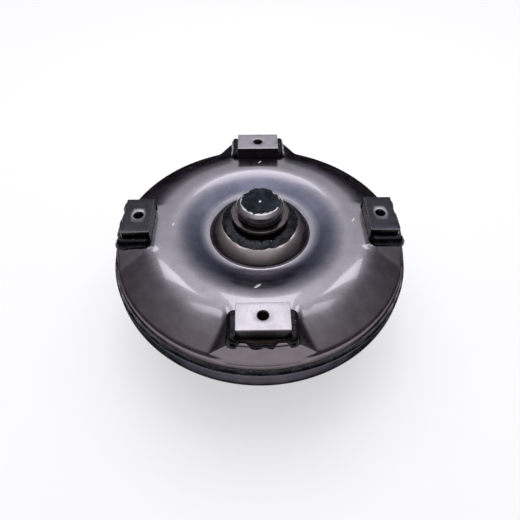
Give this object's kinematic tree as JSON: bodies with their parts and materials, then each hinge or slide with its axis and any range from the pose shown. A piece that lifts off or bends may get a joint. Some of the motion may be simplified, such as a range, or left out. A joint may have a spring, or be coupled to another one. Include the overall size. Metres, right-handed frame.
{
  "type": "torque converter",
  "caption": "Round welded torque converter: dished steel cover with stepped pilot and tapped drive pads, bladed impeller, turbine, stator on a one-way roller clutch, slotted pump hub.",
  "frame": {"origin": "on the converter's axis, at the end face of the impeller hub", "axes": "+Z along the axis towards the engine; +X and +Y run through two neighbouring pads"},
  "size_m": [0.317, 0.317, 0.1676],
  "materials": {
    "pressed_steel": "oiled dark pressed steel, fine scratches",
    "turned_steel": "lathe turned",
    "milled_steel": "milled, satin",
    "weld_metal": "blackened weld bead",
    "sheet_steel": "plain pressed sheet",
    "bearing_steel": "ground",
    "spring_steel": "tempered strip",
    "cast_aluminium": "as cast",
    "bronze": "turned bronze"
  },
  "bodies": {
    "housing": {"front_cover": "pressed_steel", "pilot_hub": "turned_steel", "pilot_weld": "weld_metal", "mounting_pad_1": "milled_steel", "mounting_pad_2": "milled_steel", "mounting_pad_3": "milled_steel", "mounting_pad_4": "milled_steel", "pad_weld_1": "weld_metal", "pad_weld_2": "weld_metal", "pad_weld_3": "weld_metal", "pad_weld_4": "weld_metal", "closure_weld": "weld_metal", "impeller_shell": "pressed_steel", "impeller_core_ring": "sheet_steel", "impeller_hub": "turned_steel", "impeller_hub_weld": "weld_metal", "cover_bearing_front_race": "bearing_steel", "impeller_bearing_rear_race": "bearing_steel"},
    "turbine": {"turbine_shell": "sheet_steel", "turbine_core_ring": "sheet_steel", "turbine_hub": "turned_steel", "turbine_rivet_1": "turned_steel", "turbine_rivet_2": "turned_steel", "turbine_rivet_3": "turned_steel", "turbine_rivet_4": "turned_steel", "turbine_rivet_5": "turned_steel", "turbine_rivet_6": "turned_steel", "cover_bearing_rear_race": "bearing_steel"},
    "stator": {"stator_wheel": "cast_aluminium", "clutch_outer_race": "bearing_steel", "clutch_spring_1": "spring_steel", "clutch_spring_2": "spring_steel", "clutch_spring_3": "spring_steel", "clutch_spring_4": "spring_steel", "clutch_spring_5": "spring_steel", "clutch_spring_6": "spring_steel", "clutch_spring_7": "spring_steel", "clutch_spring_8": "spring_steel", "clutch_rear_cap": "sheet_steel", "clutch_front_cap": "sheet_steel", "rear_snap_ring": "spring_steel", "front_snap_ring": "spring_steel", "turbine_thrust_washer": "bronze", "impeller_bearing_front_race": "bearing_steel"},
    "inner_race": {"clutch_inner_race": "bearing_steel"},
    "cover_bearing_cage": {"cover_bearing_cage": "bearing_steel"},
    "impeller_bearing_cage": {"impeller_bearing_cage": "bearing_steel"},
    "roller_1": {"clutch_roller_1": "bearing_steel"},
    "roller_2": {"clutch_roller_2": "bearing_steel"},
    "roller_3": {"clutch_roller_3": "bearing_steel"},
    "roller_4": {"clutch_roller_4": "bearing_steel"},
    "roller_5": {"clutch_roller_5": "bearing_steel"},
    "roller_6": {"clutch_roller_6": "bearing_steel"},
    "roller_7": {"clutch_roller_7": "bearing_steel"},
    "roller_8": {"clutch_roller_8": "bearing_steel"}
  },
  "joints": [
    {"name": "turbine_spin", "type": "hinge", "parent": "housing", "child": "turbine", "pos_m": [0, 0, 0.11], "axis": [0, 0, 1], "continuous": true},
    {"name": "stator_spin", "type": "hinge", "parent": "housing", "child": "stator", "pos_m": [0, 0, 0.087], "axis": [0, 0, 1], "continuous": true},
    {"name": "race_freewheel", "type": "hinge", "parent": "stator", "child": "inner_race", "pos_m": [0, 0, 0.087], "axis": [0, 0, 1], "range_deg": [0, 360]},
    {"name": "cover_bearing_cage_spin", "type": "hinge", "parent": "housing", "child": "cover_bearing_cage", "pos_m": [0, 0, 0.124], "axis": [0, 0, 1], "continuous": true},
    {"name": "impeller_bearing_cage_spin", "type": "hinge", "parent": "housing", "child": "impeller_bearing_cage", "pos_m": [0, 0, 0.075], "axis": [0, 0, 1], "continuous": true},
    {"name": "roller_1_spin", "type": "hinge", "parent": "stator", "child": "roller_1", "pos_m": [0.02733, -0.01795, 0.087], "axis": [0, 0, 1], "range_deg": [-2760, 0]},
    {"name": "roller_2_spin", "type": "hinge", "parent": "stator", "child": "roller_2", "pos_m": [0.00663, -0.03202, 0.087], "axis": [0, 0, 1], "range_deg": [-2760, 0]},
    {"name": "roller_3_spin", "type": "hinge", "parent": "stator", "child": "roller_3", "pos_m": [-0.01795, -0.02733, 0.087], "axis": [0, 0, 1], "range_deg": [-2760, 0]},
    {"name": "roller_4_spin", "type": "hinge", "parent": "stator", "child": "roller_4", "pos_m": [-0.03202, -0.00663, 0.087], "axis": [0, 0, 1], "range_deg": [-2760, 0]},
    {"name": "roller_5_spin", "type": "hinge", "parent": "stator", "child": "roller_5", "pos_m": [-0.02733, 0.01795, 0.087], "axis": [0, 0, 1], "range_deg": [-2760, 0]},
    {"name": "roller_6_spin", "type": "hinge", "parent": "stator", "child": "roller_6", "pos_m": [-0.00663, 0.03202, 0.087], "axis": [0, 0, 1], "range_deg": [-2760, 0]},
    {"name": "roller_7_spin", "type": "hinge", "parent": "stator", "child": "roller_7", "pos_m": [0.01795, 0.02733, 0.087], "axis": [0, 0, 1], "range_deg": [-2760, 0]},
    {"name": "roller_8_spin", "type": "hinge", "parent": "stator", "child": "roller_8", "pos_m": [0.03202, 0.00663, 0.087], "axis": [0, 0, 1], "range_deg": [-2760, 0]}
  ],
  "couplings": [
    {"joint": "cover_bearing_cage_spin", "follows": "turbine_spin", "ratio": 0.5},
    {"joint": "impeller_bearing_cage_spin", "follows": "stator_spin", "ratio": 0.5},
    {"joint": "roller_1_spin", "follows": "race_freewheel", "ratio": -7.5263},
    {"joint": "roller_2_spin", "follows": "race_freewheel", "ratio": -7.5263},
    {"joint": "roller_3_spin", "follows": "race_freewheel", "ratio": -7.5263},
    {"joint": "roller_4_spin", "follows": "race_freewheel", "ratio": -7.5263},
    {"joint": "roller_5_spin", "follows": "race_freewheel", "ratio": -7.5263},
    {"joint": "roller_6_spin", "follows": "race_freewheel", "ratio": -7.5263},
    {"joint": "roller_7_spin", "follows": "race_freewheel", "ratio": -7.5263},
    {"joint": "roller_8_spin", "follows": "race_freewheel", "ratio": -7.5263}
  ]
}
